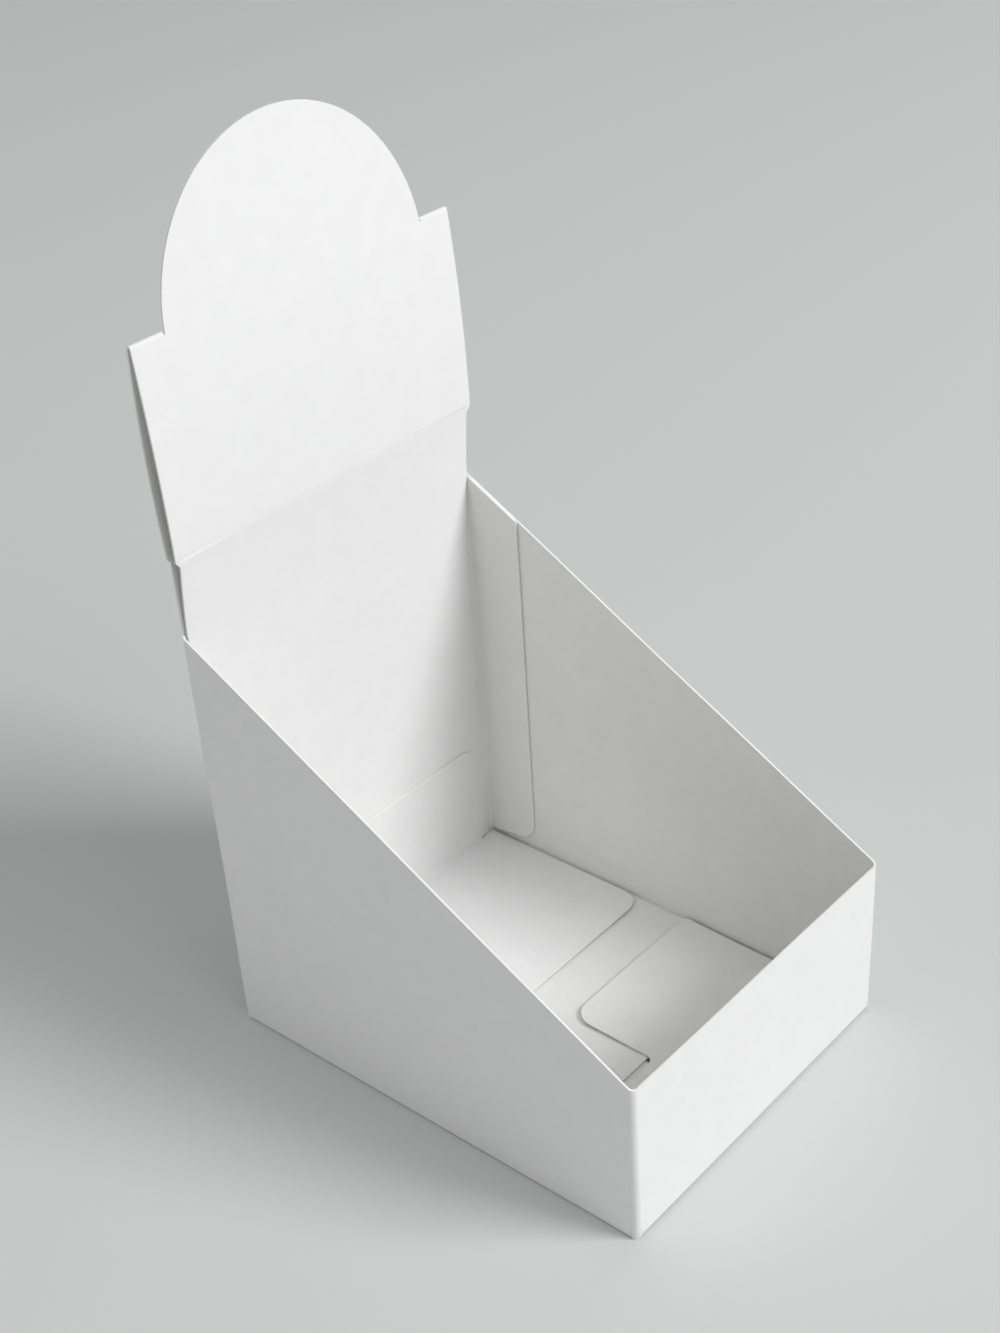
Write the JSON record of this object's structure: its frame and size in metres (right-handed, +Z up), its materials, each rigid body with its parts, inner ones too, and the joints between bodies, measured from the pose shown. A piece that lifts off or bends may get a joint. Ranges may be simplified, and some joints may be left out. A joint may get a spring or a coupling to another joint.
{
  "type": "display box",
  "caption": "Counter display box folded from white paperboard: open tray with a low front and sloping sides, double header with a round top, and a loose floor liner.",
  "frame": {"origin": "middle of the bounding box's foot, on the table the box stands on", "axes": "+Z up; +X to the right across the front wall, seen from the front; the low front wall faces -Y and the header stands at +Y"},
  "size_m": [0.12, 0.1616, 0.2719],
  "materials": {
    "box_board": "matt coated white",
    "liner_board": "matt coated white"
  },
  "bodies": {
    "root": {"display_box": "box_board", "floor_liner": "liner_board"}
  },
  "joints": []
}
